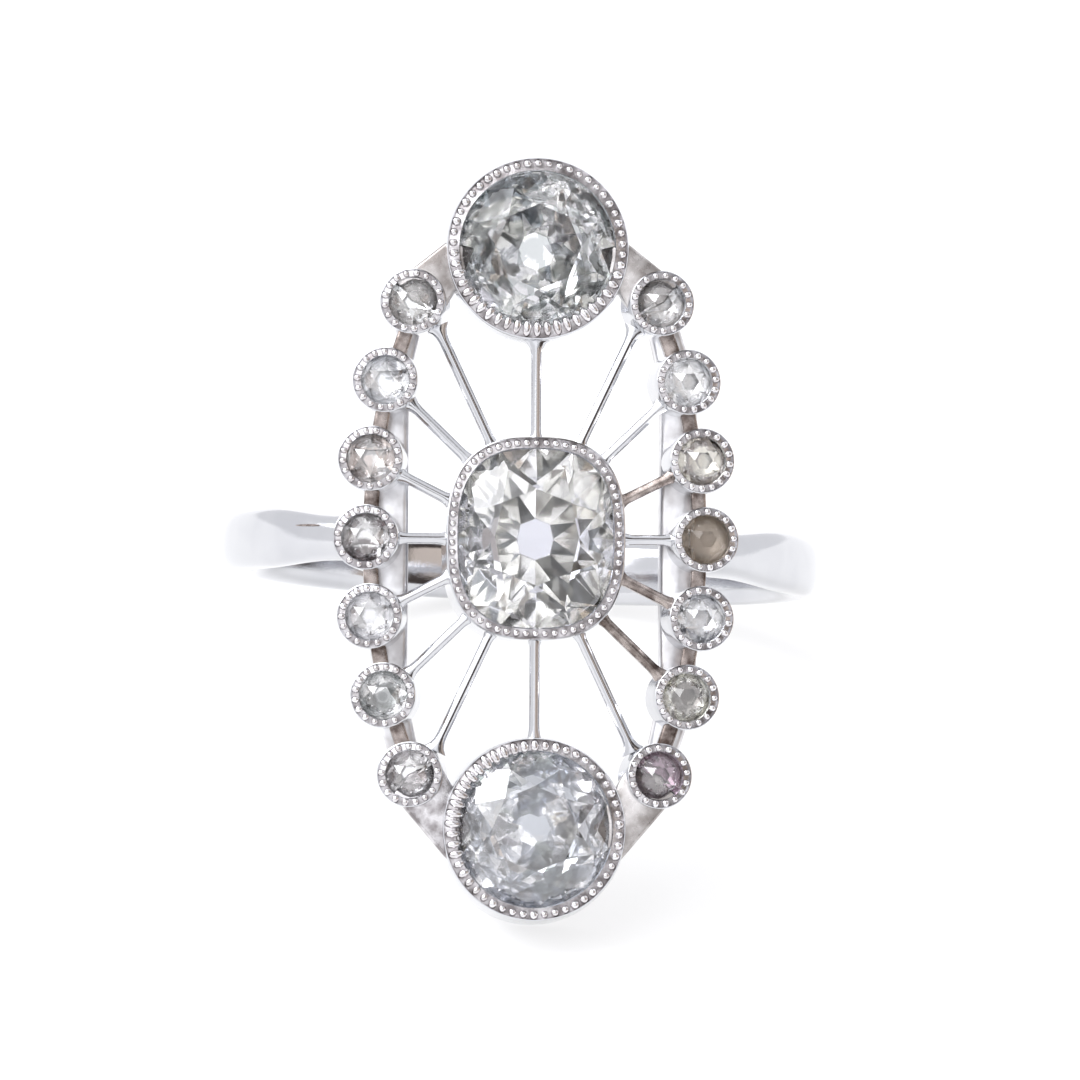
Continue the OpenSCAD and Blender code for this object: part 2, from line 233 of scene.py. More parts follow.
# Recesses that the polishing brush doesn't reach keep a brown-grey film; the same dark metal paints the shade on the
# links between the settings and on some spokes
recessFilmAndShadePlatinum = metalMaterial("recessFilmAndShadePlatinum", {
    "light": "#B4AAA5", "dark": "#544843", "blotchMm": 0.5, "scuffMm": 0.1, "rough": (0.18, 0.34), "bump": 0.3})
settingMetal = [polishedPlatinum, filmAndShadePlatinum]
print("Metals mixed")

# Settings: a circle is drawn up through the levels of the wall, over the rim and down to the open back.
# A level is how far in from the stone's edge (less than zero is outside it), and its height over the rim.
cup = {"topZ": -0.3, "slack": 0.02}  # the inside of a setting gets the grey film and painted shade from here down


def drawnUp(setting, halfW, halfL, cushion=False):
    levels = setting["levels"]
    selectNone()
    bpy.ops.mesh.primitive_circle_add(vertices=setting["sides"], radius=1)
    piece = bpy.context.object
    firstInset, firstZ = levels[0]
    bpy.ops.object.mode_set(mode="EDIT")
    bpy.ops.mesh.select_all(action="SELECT")
    grow = (halfW - firstInset, halfL - firstInset, 1)
    if cushion:
        mesh = bmesh.from_edit_mesh(piece.data)
        for v in mesh.verts:
            v.co = cushionPoint(halfW, halfL, math.atan2(v.co.y, v.co.x))
        bmesh.update_edit_mesh(piece.data)
        grow = (grow[0] / halfW, grow[1] / halfL, 1)
    bpy.ops.transform.resize(value=grow, center_override=(0, 0, 0))
    bpy.ops.transform.translate(value=(0, 0, firstZ))
    for (inset, z), (nextInset, nextZ) in zip(levels, levels[1:] + levels[:1]):
        bpy.ops.mesh.extrude_region_move(TRANSFORM_OT_translate={"value": (0, 0, nextZ - z)})
        grow = ((halfW - nextInset) / (halfW - inset), (halfL - nextInset) / (halfL - inset), 1)
        bpy.ops.transform.resize(value=grow, center_override=(0, 0, 0))
    bpy.ops.mesh.select_all(action="SELECT")
    bpy.ops.mesh.remove_doubles(threshold=0.0001)
    bpy.ops.mesh.normals_make_consistent(inside=False)
    bpy.ops.object.mode_set(mode="OBJECT")
    power = ring["centreSquare"] if cushion else 2
    outer, inner = setting["groove"]
    for face in piece.data.polygons:
        x, y, z = face.center
        inset = halfW * (1 - ((abs(x) / halfW) ** power + (abs(y) / halfL) ** power) ** (1 / power))
        inGroove = outer < inset < inner and z > cup["topZ"]
        inCup = inset > inner - cup["slack"] and z < cup["topZ"]
        # grooves and cups take the second metal: grey film and painted shade
        if inGroove or inCup:
            face.material_index = 1
    return piece


bead = {"segments": 8, "rings": 6, "rootZ": -0.05, "rootW": 0.8, "rootDepth": 1.7}


def makeBead():
    selectNone()
    bpy.ops.mesh.primitive_uv_sphere_add(segments=bead["segments"], ring_count=bead["rings"], radius=0.5)
    piece = bpy.context.object
    bpy.ops.object.mode_set(mode="EDIT")
    pick(piece, lambda v: v.co.z < bead["rootZ"])  # the root that sinks into the rim
    bpy.ops.transform.resize(value=(bead["rootW"], bead["rootW"], bead["rootDepth"]), center_override=(0, 0, 0))
    bpy.ops.object.mode_set(mode="OBJECT")
    return piece


beadMaster = makeBead()
chance = random.Random(7)


def beadRow(beads, outline, long=1.0):
    # outline(share) gives the point and the outward direction at that share of the way round;
    # a longer bead keeps its outer end and reaches further in
    row, size = [], beads["size"]
    for i in range(beads["count"]):
        share = (i + 0.5) / beads["count"]
        point, outward = outline(share)
        turn = Matrix.Rotation(math.atan2(outward.y, outward.x), 4, "Z")
        grow = 1 + beads["wobble"] * chance.uniform(-1, 1)
        stretch = long(share) if callable(long) else long
        point = point - outward * size * (stretch - 1) / 2
        scale = Matrix.Diagonal((size * stretch * grow, size * grow, size * grow, 1))
        place = Matrix.Translation((point.x, point.y, beads["z"])) @ turn @ scale
        row.append(copyOf(beadMaster, place, "bead"))
    return joined(row, "beads")


def roundOutline(radius):
    def at(share):
        angle = 2 * math.pi * share
        outward = Vector((math.cos(angle), math.sin(angle), 0))
        return outward * radius, outward
    return at


def cushionOutline(inset):  # at even distances along the edge, measured in short steps
    halfW, halfL = ring["centreHalfW"] - inset, ring["centreHalfL"] - inset
    steps = 720
    points = [cushionToward(halfW, halfL, 2 * math.pi * i / steps) for i in range(steps + 1)]
    reach = [0]
    for a, b in zip(points, points[1:]):
        reach.append(reach[-1] + (b - a).length)

    def at(share):
        goal = share * reach[-1]
        i = next(k for k in range(steps) if reach[k + 1] >= goal)
        point = points[i].lerp(points[i + 1], (goal - reach[i]) / (reach[i + 1] - reach[i]))
        along = (points[i + 1] - points[i]).normalized()
        return point, Vector((along.y, -along.x, 0))
    return at


def teeth(deepest, depth, power):  # the wheel has cut long teeth where it was pressed in, and beads elsewhere
    def at(share):
        away = abs((share * 360 - deepest + 180) % 360 - 180)
        return 1 + depth * max(0, math.cos(math.radians(min(90, away)))) ** power
    return at


endSetting = {
    "sides": 96, "groove": (-0.24, 0.1),
    "levels": [
        (-0.4, -2.4), (-0.385, -2.0), (-0.36, -1.2), (-0.325, -0.6), (-0.295, -0.3), (-0.285, -0.1),
        (-0.27, -0.05), (-0.25, -0.05), (-0.23, -0.175), (0.11, -0.105), (0.15, -0.2), (0.15, -0.28),
        (-0.03, -0.4), (-0.04, -0.56), (0.3, -0.92), (0.3, -2.3), (0.22, -2.4),
    ],
    "beads": {"count": 50, "size": 0.28, "inset": -0.1, "z": -0.13, "wobble": 0.14},
    "teeth": {"upper": (262, 1.1, 0.7), "lower": (155, 0.95, 0.7)},  # deepest at this angle, depth, power
}
centreSetting = {
    "sides": 128, "groove": (-0.22, 0.04),
    "levels": [
        (-0.36, -2.4), (-0.34, -1.6), (-0.31, -0.7), (-0.29, -0.3), (-0.285, -0.11), (-0.27, -0.05),
        (-0.235, -0.04), (-0.215, -0.16), (0.06, -0.105), (0.1, -0.2), (0.1, -0.27),
        (-0.03, -0.4), (-0.04, -0.56), (0.3, -0.92), (0.3, -2.3), (0.22, -2.4),
    ],
    "beads": {"count": 62, "size": 0.24, "inset": -0.09, "z": -0.12, "wobble": 0.08},
}
sideSetting = {
    "sides": 48, "groove": (-0.155, 0.04), "turn": 51,  # each is turned on, so that their beads don't line up
    "levels": [
        (-0.2, -1.6), (-0.2, -0.5), (-0.2, -0.12), (-0.19, -0.06), (-0.165, -0.05), (-0.15, -0.145),
        (0.055, -0.105), (0.09, -0.19), (0.09, -0.26), (-0.03, -0.38), (-0.04, -0.54), (0.2, -0.56),
        (0.2, -1.55), (0.14, -1.6),
    ],
    "beads": {"count": 17, "size": 0.23, "inset": -0.055, "z": -0.1, "wobble": 0.12, "long": 1.1},
}

endMaster = drawnUp(endSetting, endR, endR)
endOutline = roundOutline(endR - endSetting["beads"]["inset"])
endBeads = {word: beadRow(endSetting["beads"], endOutline, teeth(*cut)) for word, cut in endSetting["teeth"].items()}
centreMaster = drawnUp(centreSetting, ring["centreHalfW"], ring["centreHalfL"], True)
centreBeads = beadRow(centreSetting["beads"], cushionOutline(centreSetting["beads"]["inset"]))
sideMaster = drawnUp(sideSetting, ring["sideR"], ring["sideR"])
sideOutline = roundOutline(ring["sideR"] - sideSetting["beads"]["inset"])
sideBeads = beadRow(sideSetting["beads"], sideOutline, sideSetting["beads"]["long"])

beadSharp = 60
atHead = Matrix.Translation((0, 0, ring["rimZ"]))
finished(copyOf(centreMaster, atHead), "centreSetting", settingMetal)
finished(copyOf(centreBeads, atHead), "centreBeads", [brightBeads], beadSharp)
for word, sign in (("upper", 1), ("lower", -1)):
    place = Matrix.Translation((0, sign * ring["endY"], ring["rimZ"]))
    finished(copyOf(endMaster, place), word + "Setting", settingMetal)
    finished(copyOf(endBeads[word], place), word + "Beads", [brightBeads], beadSharp)
for word, sign in (("left", -1), ("right", 1)):
    lean = Matrix.Rotation(math.radians(sign * ring["rowLean"]), 4, "Y")
    for number in range(1, 8):
        turn = Matrix.Rotation(math.radians(sideSetting["turn"] * number), 4, "Z")
        place = Matrix.Translation((sign * rowX(number), rowY(number), ring["rimZ"])) @ lean @ turn
        finished(copyOf(sideMaster, place), f"{word}Setting{number}", settingMetal)
        finished(copyOf(sideBeads, place), f"{word}Beads{number}", [brightBeads], beadSharp)
for master in (beadMaster, endMaster, *endBeads.values(), centreMaster, centreBeads, sideMaster, sideBeads):
    bpy.data.objects.remove(master)
print("Settings and beads made")

# Spokes: a knife-edged bar that widens into solder at both ends
spoke = {
    "width": 0.32, "height": 0.6, "ridge": 0.02, "knee": 0.03, "slope": 0.1, "soft": 0.012,
    "endShare": 0.3, "startL": 0.3, "startW": 1.7, "footL": 0.54, "footW": 2.4,
    "startFlare": {0: 1, 0.1: 0.4, 0.2: 0.1},  # place on the bar, and share of the widening there
    "footFlare": {0.8: 0.08, 0.9: 0.35, 1: 1},
    "footFrom": 0.75, "middleFoot": {"Upper": 1.5, "Lower": 0.7},
    "startGap": 0.22, "footIn": 0.2, "middleGap": 0.2, "middleIn": 0.1,
    "aims": [(0, 0), (24, 0), (50, 0.1), (65, 0.45)],  # angle on the centre setting, and how far inward it is aimed
    "brown": ("spokeUpperRight1", "spokeLowerRight1", "spokeLowerRight2"),  # these get the dark film and painted shade
}


def makeSpoke():
    middle = (0.5, 0, -spoke["height"] / 2)
    selectNone()
    bpy.ops.mesh.primitive_cube_add(size=1, location=middle)
    piece = bpy.context.object
    bpy.ops.object.transform_apply(location=True)
    bpy.ops.object.mode_set(mode="EDIT")
    bpy.ops.mesh.select_all(action="SELECT")
    bpy.ops.transform.resize(value=(1, spoke["width"], spoke["height"]), center_override=middle)
    for level in (spoke["slope"], spoke["knee"]):  # where the sides start to slope, and where the slope turns over
        bpy.ops.mesh.select_all(action="SELECT")
        bpy.ops.mesh.bisect(plane_co=(0, 0, -level), plane_no=(0, 0, 1))
    for level, share in ((0, spoke["ridge"] / spoke["width"]), (spoke["knee"], 0.5)):
        pick(piece, lambda v: abs(v.co.z + level) < 0.005)
        bpy.ops.transform.resize(value=(1, share, 1), center_override=(0, 0, 0))
    for x in (0.1, 0.2, spoke["endShare"], 1 - spoke["endShare"], 0.8, 0.9):
        bpy.ops.mesh.select_all(action="SELECT")
        bpy.ops.mesh.bisect(plane_co=(x, 0, 0), plane_no=(1, 0, 0))
    for flare, widest in ((spoke["startFlare"], spoke["startW"]), (spoke["footFlare"], spoke["footW"])):
        for x, share in flare.items():
            pick(piece, lambda v: abs(v.co.x - x) < 0.01)
            bpy.ops.transform.resize(value=(1, 1 + share * (widest - 1), 1), center_override=(0, 0, 0))
    bpy.ops.object.mode_set(mode="OBJECT")
    return piece


spokeMaster = makeSpoke()


def laidSpoke(name, start, end, foot=1.0):
    # the two ends keep their length, and only the middle is stretched
    run = end - start
    piece = copyOf(spokeMaster)
    for v in piece.data.vertices:
        x = v.co.x
        if x < 0.5:
            v.co.x = x / spoke["endShare"] * spoke["startL"]
        else:
            v.co.x = run.length - (1 - x) / spoke["endShare"] * spoke["footL"]
        if x > spoke["footFrom"]:
            v.co.y *= 1 + (foot - 1) * (x - spoke["footFrom"]) / (1 - spoke["footFrom"])
    bevelled(piece, spoke["soft"], 2, 32)
    turn = Matrix.Rotation(math.atan2(run.y, run.x), 4, "Z")
    piece.data.transform(Matrix.Translation((start.x, start.y, spokeZ)) @ turn)
    # the spokes listed under brown get the dark film and painted shade
    metal = recessFilmAndShadePlatinum if name in spoke["brown"] else polishedPlatinum
    return finished(piece, name, [metal], 30)


for side, s in (("Left", -1), ("Right", 1)):
    for end, e in (("Upper", 1), ("Lower", -1)):
        for k, (angle, inward) in enumerate(spoke["aims"]):
            if k == 0 and e < 0:  # the level one is made once on each side
                continue
            edge = cushionToward(ring["centreHalfW"], ring["centreHalfL"], math.radians(angle))
            start = Vector((s * edge.x, e * edge.y, 0))
            aim = Vector((s * (rowX(4 - k) - inward), e * rowY(4 - k), 0))
            run = (aim - start).normalized()
            laidSpoke(f"spoke{end}{side}{k}", start + run * spoke["startGap"], aim - run * (sideRim - spoke["footIn"]))
for end, e in (("Upper", 1), ("Lower", -1)):
    start = Vector((0, e * (ring["centreHalfL"] + spoke["middleGap"]), 0))
    aim = Vector((0, e * (ring["endY"] - endRim + spoke["middleIn"]), 0))
    laidSpoke(f"spoke{end}Middle", start, aim, spoke["middleFoot"][end])
bpy.data.objects.remove(spokeMaster)
print("Spokes made")

# Plates beside the end settings, links between the side settings, and the rails under them
plate = {
    "thick": 0.8, "soft": 0.1, "under": 0.7,  # it starts under the end stone, at this share of its radius
    "reach": {"upper": 0.2, "lower": 1.0},
    "farCorner": (0.5, 0.6), "nearCorner": (-0.9, -0.4),  # from the first side stone, as shares of its setting
    # each plate gets its own darker metal, set plate by plate: painted shade
    "metal": {"upperLeft": dulledAndShadedPlatinum, "upperRight": dulledAndShadedPlatinum,
              "lowerLeft": filmAndShadePlatinum, "lowerRight": dulledAndShadedPlatinum},
}
link = {"halfW": 0.24, "inward": 0.15, "from": 0.8, "rise": 0.3, "thick": 0.6, "soft": 0.08}
rail = {"wider": 0.36, "endIn": 0.5, "endW": 0.9, "soft": 0.16}


def prism(outline, lowZ, thick, soft):
    selectNone()
    bpy.ops.mesh.primitive_circle_add(vertices=len(outline), radius=1, fill_type="NGON")
    piece = bpy.context.object
    if sum(a[0] * b[1] - b[0] * a[1] for a, b in zip(outline, outline[1:] + outline[:1])) < 0:
        outline = outline[::-1]
    bpy.ops.object.mode_set(mode="EDIT")
    mesh = bmesh.from_edit_mesh(piece.data)
    ordered = sorted(mesh.verts, key=lambda v: math.atan2(v.co.y, v.co.x) % (2 * math.pi))
    for v, (x, y) in zip(ordered, outline):
        v.co = (x, y, lowZ)
    bmesh.update_edit_mesh(piece.data)
    bpy.ops.mesh.select_all(action="SELECT")
    bpy.ops.mesh.extrude_region_move(TRANSFORM_OT_translate={"value": (0, 0, thick)})
    bpy.ops.mesh.select_all(action="SELECT")
    bpy.ops.mesh.normals_make_consistent(inside=False)
    bpy.ops.object.mode_set(mode="OBJECT")
    bevelled(piece, soft)
    return piece


for side, s in (("Left", -1), ("Right", 1)):
    for end, e in (("upper", 1), ("lower", -1)):
        x, y, reach = rowX(1), rowY(1), plate["reach"][end]
        (farX, farY), (nearX, nearY) = plate["farCorner"], plate["nearCorner"]
        outline = [(endR * plate["under"], ring["endY"]), (math.sqrt(endRim ** 2 - reach ** 2), ring["endY"] + reach),
                   (x + sideRim * farX, y + sideRim * farY), (x, y), (x + sideRim * nearX, y + sideRim * nearY)]
        made = prism([(s * a, e * b) for a, b in outline], spokeZ - spoke["height"], plate["thick"], plate["soft"])
        finished(made, f"{end}Plate{side}", [plate["metal"][end + side]])
    for number in range(1, 7):
        a, b = Vector((s * rowX(number), rowY(number))), Vector((s * rowX(number + 1), rowY(number + 1)))
        run = (b - a).normalized()
        across = Vector((-run.y, run.x)) * link["halfW"]
        out = Vector((-s * link["inward"], 0))
        a, b = a + out + run * link["from"], b + out - run * link["from"]
        outline = [tuple(a + across), tuple(b + across), tuple(b - across), tuple(a - across)]
        made = prism(outline, sideFootZ + link["rise"], link["thick"], link["soft"])
        # links get the dark brown-grey metal: film and painted shade between the settings
        finished(made, f"link{side}{number}", [recessFilmAndShadePlatinum])
    inner, outer = railX - ring["railW"] / 2 - rail["wider"], railX + ring["railW"] / 2
    bend, endX, endY = rowY(2), rowX(1) - rail["endIn"], rowY(1)
    outline = [(inner, -bend), (inner, bend), (endX, endY), (endX + rail["endW"], endY),
               (outer, bend), (outer, -bend), (endX + rail["endW"], -endY), (endX, -endY)]
    made = prism([(s * a, b) for a, b in outline], railTopZ - ring["railH"], ring["railH"], rail["soft"])
    finished(made, f"rail{side}", [satinPlatinum])
print("Plates, links and rails made")

# Shank: one rounded section is spun round half the finger, its end is drawn up to the rail, and the half is mirrored
shank = {
    "sides": 32, "arcStart": 33, "steps": 64, "sideW": 1.9, "twist": 2.2,
    "outsidePower": 0.7, "insidePower": 0.45, "depthPower": 0.7,  # the section: flat inside, rounded outside
    "postSteps": 6, "postTaper": 0.965, "postLead": 0.5, "postBendZ": 8.35, "postIn": 0.75,
    "neckW": 1.32, "neckAt": 6.2, "fullAt": 8.3, "neckInside": 1.25, "neckOutside": 0.9,
}
shankTwist = Matrix.Rotation(math.radians(-shank["twist"]), 4, "Z")  # a little askew under the head


def curvePoint(points, t):  # on a cubic curve from the first point to the last
    weights = ((1 - t) ** 3, 3 * t * (1 - t) ** 2, 3 * t * t * (1 - t), t ** 3)
    return sum((p * w for p, w in zip(points, weights)), Vector())


def makeShank():
    halfW, inner, outer = ring["shankW"] / 2, ring["boreR"], ring["boreR"] + ring["shankT"]
    middle, angle = (inner + outer) / 2, math.radians(shank["arcStart"])
    selectNone()
    bpy.ops.mesh.primitive_circle_add(vertices=shank["sides"], radius=1, rotation=(math.pi / 2, 0, 0))
    piece = bpy.context.object
    bpy.ops.object.transform_apply(rotation=True)
    bpy.ops.object.mode_set(mode="EDIT")
    mesh = bmesh.from_edit_mesh(piece.data)
    for v in mesh.verts:  # at the back of the finger the outside is below
        a = math.atan2(v.co.z, v.co.x)
        c, s = math.cos(a), math.sin(a)
        power = shank["outsidePower"] if s < 0 else shank["insidePower"]
        deep = math.copysign(abs(s) ** shank["depthPower"], s)
        v.co = (0, halfW * math.copysign(abs(c) ** power, c), -middle + (outer - inner) / 2 * deep)
    bmesh.update_edit_mesh(piece.data)
    bpy.ops.mesh.select_all(action="SELECT")
    bpy.ops.mesh.spin(steps=shank["steps"], angle=math.radians(180) - angle, center=(0, 0, 0), axis=(0, 1, 0))
    start = Vector((middle * math.sin(angle), 0, middle * math.cos(angle)))
    bend = [start, start + Vector((-math.cos(angle), 0, math.sin(angle))) * shank["postLead"],
            Vector((railX, 0, shank["postBendZ"])), Vector((railX, 0, railTopZ - shank["postIn"]))]
    turn = Matrix.Rotation((math.pi / 2 - angle) / shank["postSteps"], 4, "Y")
    taper = Matrix.Diagonal((shank["postTaper"], 1, shank["postTaper"], 1))
    for i in range(shank["postSteps"]):
        here, there = (curvePoint(bend, k / shank["postSteps"]) for k in (i, i + 1))
        bpy.ops.mesh.extrude_region_move(TRANSFORM_OT_translate={"value": tuple(there - here)})
        mesh = bmesh.from_edit_mesh(piece.data)
        change = Matrix.Translation(there) @ turn @ taper @ Matrix.Translation(-there)
        for v in mesh.verts:
            if v.select:
                v.co = change @ v.co
        bmesh.update_edit_mesh(piece.data)
    bpy.ops.mesh.edge_face_add()
    for v in bmesh.from_edit_mesh(piece.data).verts:  # the shoulders narrow towards the head, more outside than inside
        v.co.y *= 1 - (1 - shank["sideW"] / ring["shankW"]) * min(1, max(0, 1 + v.co.z / ring["boreR"]))
        if v.co.z > 0:
            share = min(1, max(0, (abs(v.co.x) - shank["neckAt"]) / (shank["fullAt"] - shank["neckAt"])))
            share = share * share * (3 - 2 * share)
            outside = min(1, max(0, (v.co.length - inner) / (outer - inner)))
            neck = shank["neckInside"] + (shank["neckOutside"] - shank["neckInside"]) * outside
            neck *= shank["neckW"] / shank["sideW"]
            v.co.y *= neck + (1 - neck) * share
    bmesh.update_edit_mesh(piece.data)
    bpy.ops.object.mode_set(mode="OBJECT")
    mirror = piece.modifiers.new("otherHalf", "MIRROR")
    mirror.use_axis[0], mirror.use_clip, mirror.merge_threshold = True, True, 0.001
    applyAll(piece)
    bpy.ops.object.mode_set(mode="EDIT")
    bpy.ops.mesh.select_all(action="SELECT")
    bpy.ops.mesh.remove_doubles(threshold=0.001)
    bpy.ops.mesh.normals_make_consistent(inside=False)
    bpy.ops.object.mode_set(mode="OBJECT")
    piece.data.transform(shankTwist)
    return piece


finished(makeShank(), "shank", [polishedPlatinum], 50)

# A short dark seam across the left shoulder
seam = {"length": 1.1, "width": 0.07, "height": 0.05, "angle": -46.5, "along": 0.33, "sink": 0.01}


def makeSeam():
    selectNone()
    bpy.ops.mesh.primitive_uv_sphere_add(segments=12, ring_count=8, radius=0.5)
    piece = bpy.context.object
    turn = Matrix.Rotation(math.radians(seam["angle"]), 4, "Y")
    onTop = Matrix.Translation((0, seam["along"], ring["boreR"] + ring["shankT"] - seam["sink"]))
    size = Matrix.Diagonal((seam["length"], seam["width"], seam["height"], 1))
    piece.data.transform(shankTwist @ turn @ onTop @ size)
    return piece


finished(makeSeam(), "seamLeft", [recessFilmAndShadePlatinum])
print("Shank made")

# Stones. Cut diamond, polished on a wheel: clear, with sharp glints. The cloudy back that shows through
# the crown stands for inclusions and bruising, and its tones are painted reflections of what an old cut reflects.
stones = {
    "centre_stone": {  # an old cut: few broad facets; some of the back ones are painted dark, painted shade where they leak light
        "cut": "oldCutDiamond", "slot": "clear_stone", "tint": "#FAFAFC", "shine": 0.5,
        "cloudAndReflections": {"sizeMm": 3.0, "shardMm": 0.7, "dark": "#D6D6D2", "middle": "#F8F7F1", "light": "#FFFFFF",
                  "share": 0.7, "foil": 1.0, "haze": 0.11},
        "facets": {
            "seed": 3.0, "culet": "#D4D5DC", "culetShare": 0.95, "culetRough": 0.2, "culetLean": -0.03,
            "paintedDarkShare": 0.88, "paintedDarkList": [  # back facets painted dark: angles on the head, from the right; steepness is its normal's share upward
                {"azimuth": 105, "halfWidth": 20, "steepness": 0.8, "colour": "#1E2226"},
                {"azimuth": 0, "halfWidth": 14, "steepness": 0.77, "colour": "#3A4048"},
                {"azimuth": -43, "halfWidth": 10, "steepness": 0.75, "colour": "#181D26"},
                {"azimuth": -68, "halfWidth": 10, "steepness": 0.8, "colour": "#403F36"},
            ],
        },
    },
    "upper_stone": {  # spots are inclusions, painted highlights and painted dark reflections; a spot is its place across and towards the upper end, its radius (all in mm) and its colour
        "cut": "oldCutDiamond", "slot": "grey_stone", "tint": "#FAFAFC", "shine": 0.1,
        "uneven": {"patchMm": 0.85, "front": 0.1, "back": 0.4},
        "cloudAndReflections": {"sizeMm": 1.4, "shardMm": 0.65, "dark": "#878B8F", "middle": "#F6F6F7", "light": "#FFFFFE",
                  "share": 0.76, "foil": 0.9, "haze": 0.05},
        "spotsAndGlints": [
            (-1.7, 0.9, 0.6, "#4A5258"), (-1.1, 1.4, 0.65, "#545D64"), (-0.2, 1.6, 0.6, "#767F86"),
            (1.8, 1.0, 0.6, "#858A88"), (-1.1, 0.3, 0.5, "#FFFFF8"), (-0.6, 0.5, 0.35, "#E4E4DC"),
            (-0.2, -1.05, 0.45, "#FFFFFA"), (-0.75, -0.5, 0.25, "#2E2B25"), (0.8, -0.6, 0.6, "#454A48"),
            (-1.75, -1.3, 0.7, "#DEDDE6"), (0.0, 0.0, 0.5, "#C2C7C6"), (0.6, -1.9, 0.35, "#FFFFFF"),
            (1.0, -1.2, 0.2, "#FFFFFF"), (1.5, -1.5, 0.2, "#FFFFFF"),
        ],
    },
    "lower_stone": {
        "cut": "oldCutDiamond", "slot": "grey_stone", "tint": "#FCFCFE", "shine": 0.9,
        "uneven": {"patchMm": 0.55, "front": 0.1, "back": 0.3},
        "cloudAndReflections": {"sizeMm": 1.2, "shardMm": 0.6, "dark": "#AEB0B4", "middle": "#FDFDFD", "light": "#FFFFFF",
                  "share": 0.82, "foil": 0.9, "haze": 0.05},
        "spotsAndGlints": [
            (1.15, 1.35, 0.6, "#FAFAFF"), (-0.25, 0.6, 0.45, "#6E7584"), (0.3, 1.2, 0.35, "#858C99"),
            (1.0, 0.0, 0.25, "#101318"), (1.5, 0.4, 0.35, "#7A747D"), (0.05, 0.05, 0.45, "#A6ABB3"),
            (-1.6, -0.1, 0.4, "#FFFEF2"), (0.3, -0.95, 0.45, "#868E8A"), (-0.65, -1.8, 0.6, "#EAEBF1"),
        ],
    },
}
rose = {  # what the small stones share
    "cut": "roseCutDiamond", "slot": "rose_stone", "tint": "#FEFEFE", "shine": 1.0,
    "uneven": {"patchMm": 0.8, "front": 0.07, "back": 0.16},
    "cloudAndReflections": {"sizeMm": 0.9, "shardMm": 0.7, "share": 0.95, "foil": 0.97, "haze": 0.19},
}
whiter = {"haze": 0.12, "uneven": {"patchMm": 0.8, "front": 0.05, "back": 0.12}}
roses = {  # dark, middle and light tone of each flat back, which are its colour and painted reflections of its facets, its spots, and what else is its own
    "left_stone_1": {"tones": ("#EEF0F0", "#FFFFFF", "#FFFFFF"), **whiter},
    "left_stone_2": {"tones": ("#B9BBBF", "#F2F3F5", "#FFFFFF"), "spotsAndGlints": [(0.15, 0.25, 0.22, "#A4A6AA")]},
    "left_stone_3": {"tones": ("#CBC7C5", "#FAF9F8", "#FFFFFF"), **whiter,
                     "spotsAndGlints": [(-0.3, -0.1, 0.3, "#C9BFBA"), (0.0, 0.5, 0.3, "#A8A6A6")]},
    "left_stone_4": {"tones": ("#C4C2C2", "#F8F8F9", "#FFFFFF"), "spotsAndGlints": [(-0.05, -0.5, 0.5, "#54494A")]},
    "left_stone_5": {"tones": ("#787A7F", "#B8BABD", "#E8E8EA")},
    "left_stone_6": {"tones": ("#989B9B", "#F0F0F0", "#FFFFFF"), "spotsAndGlints": [(0.0, -0.05, 0.2, "#6A6E6E")]},
    "left_stone_7": {"tones": ("#E2E1E1", "#FFFFFF", "#FFFFFF"), **whiter},
    "right_stone_1": {"tones": ("#A6A8AC", "#DEE0E3", "#FFFFFF"), "spotsAndGlints": [(0.25, -0.3, 0.35, "#FFFFFF")],
                      "haze": 0.24, "uneven": {"patchMm": 0.8, "front": 0.05, "back": 0.1}},
    "right_stone_2": {"tones": ("#BBBDC1", "#F2F3F5", "#FFFFFF")},
    "right_stone_3": {"tones": ("#ACA4A0", "#E2DCD8", "#FAF7F4"),
                      "spotsAndGlints": [(0.1, 0.0, 0.25, "#F6F3E8"), (0.45, 0.5, 0.2, "#5A5250")]},
    "right_stone_4": {"tones": ("#C0B2A2", "#CDBFB0", "#DACDBF"), "haze": 0.5, "uneven": None, "shine": 0.2},
    "right_stone_5": {"tones": ("#B4B6BB", "#F2F3F6", "#FFFFFF"), "spotsAndGlints": [(0.3, -0.5, 0.3, "#B4B6BA")]},
    "right_stone_6": {"tones": ("#B5B2AC", "#F4F3EB", "#FFFFFA"),
                      "spotsAndGlints": [(0.0, 0.05, 0.25, "#85807C"), (0.35, -0.3, 0.25, "#E8E7DA")]},
    "right_stone_7": {"tones": ("#AC9AA5", "#DACDD7", "#F8F2F7"), "spotsAndGlints": [(0.1, 0.1, 0.35, "#A68E9E")]},
}
for name, own in roses.items():
    cloudAndReflections = dict(rose["cloudAndReflections"], haze=own.get("haze", rose["cloudAndReflections"]["haze"]))
    cloudAndReflections.update(zip(("dark", "middle", "light"), own["tones"]))
    stones[name] = {**rose, **own, "cloudAndReflections": cloudAndReflections}
seat = {  # mm from the rim down to the girdle, and from there to where the cloudy back begins
    "clear_stone": (0.42, 0.06), "grey_stone": (0.42, 0.06), "rose_stone": (0.45, 0.01),
}
culetRise = 0.02  # mm; what lies this near a stone's lowest point is its culet
spotEdge = {"ragged": 1 / 2.2, "soft": 0.15}  # shares of a spot's radius


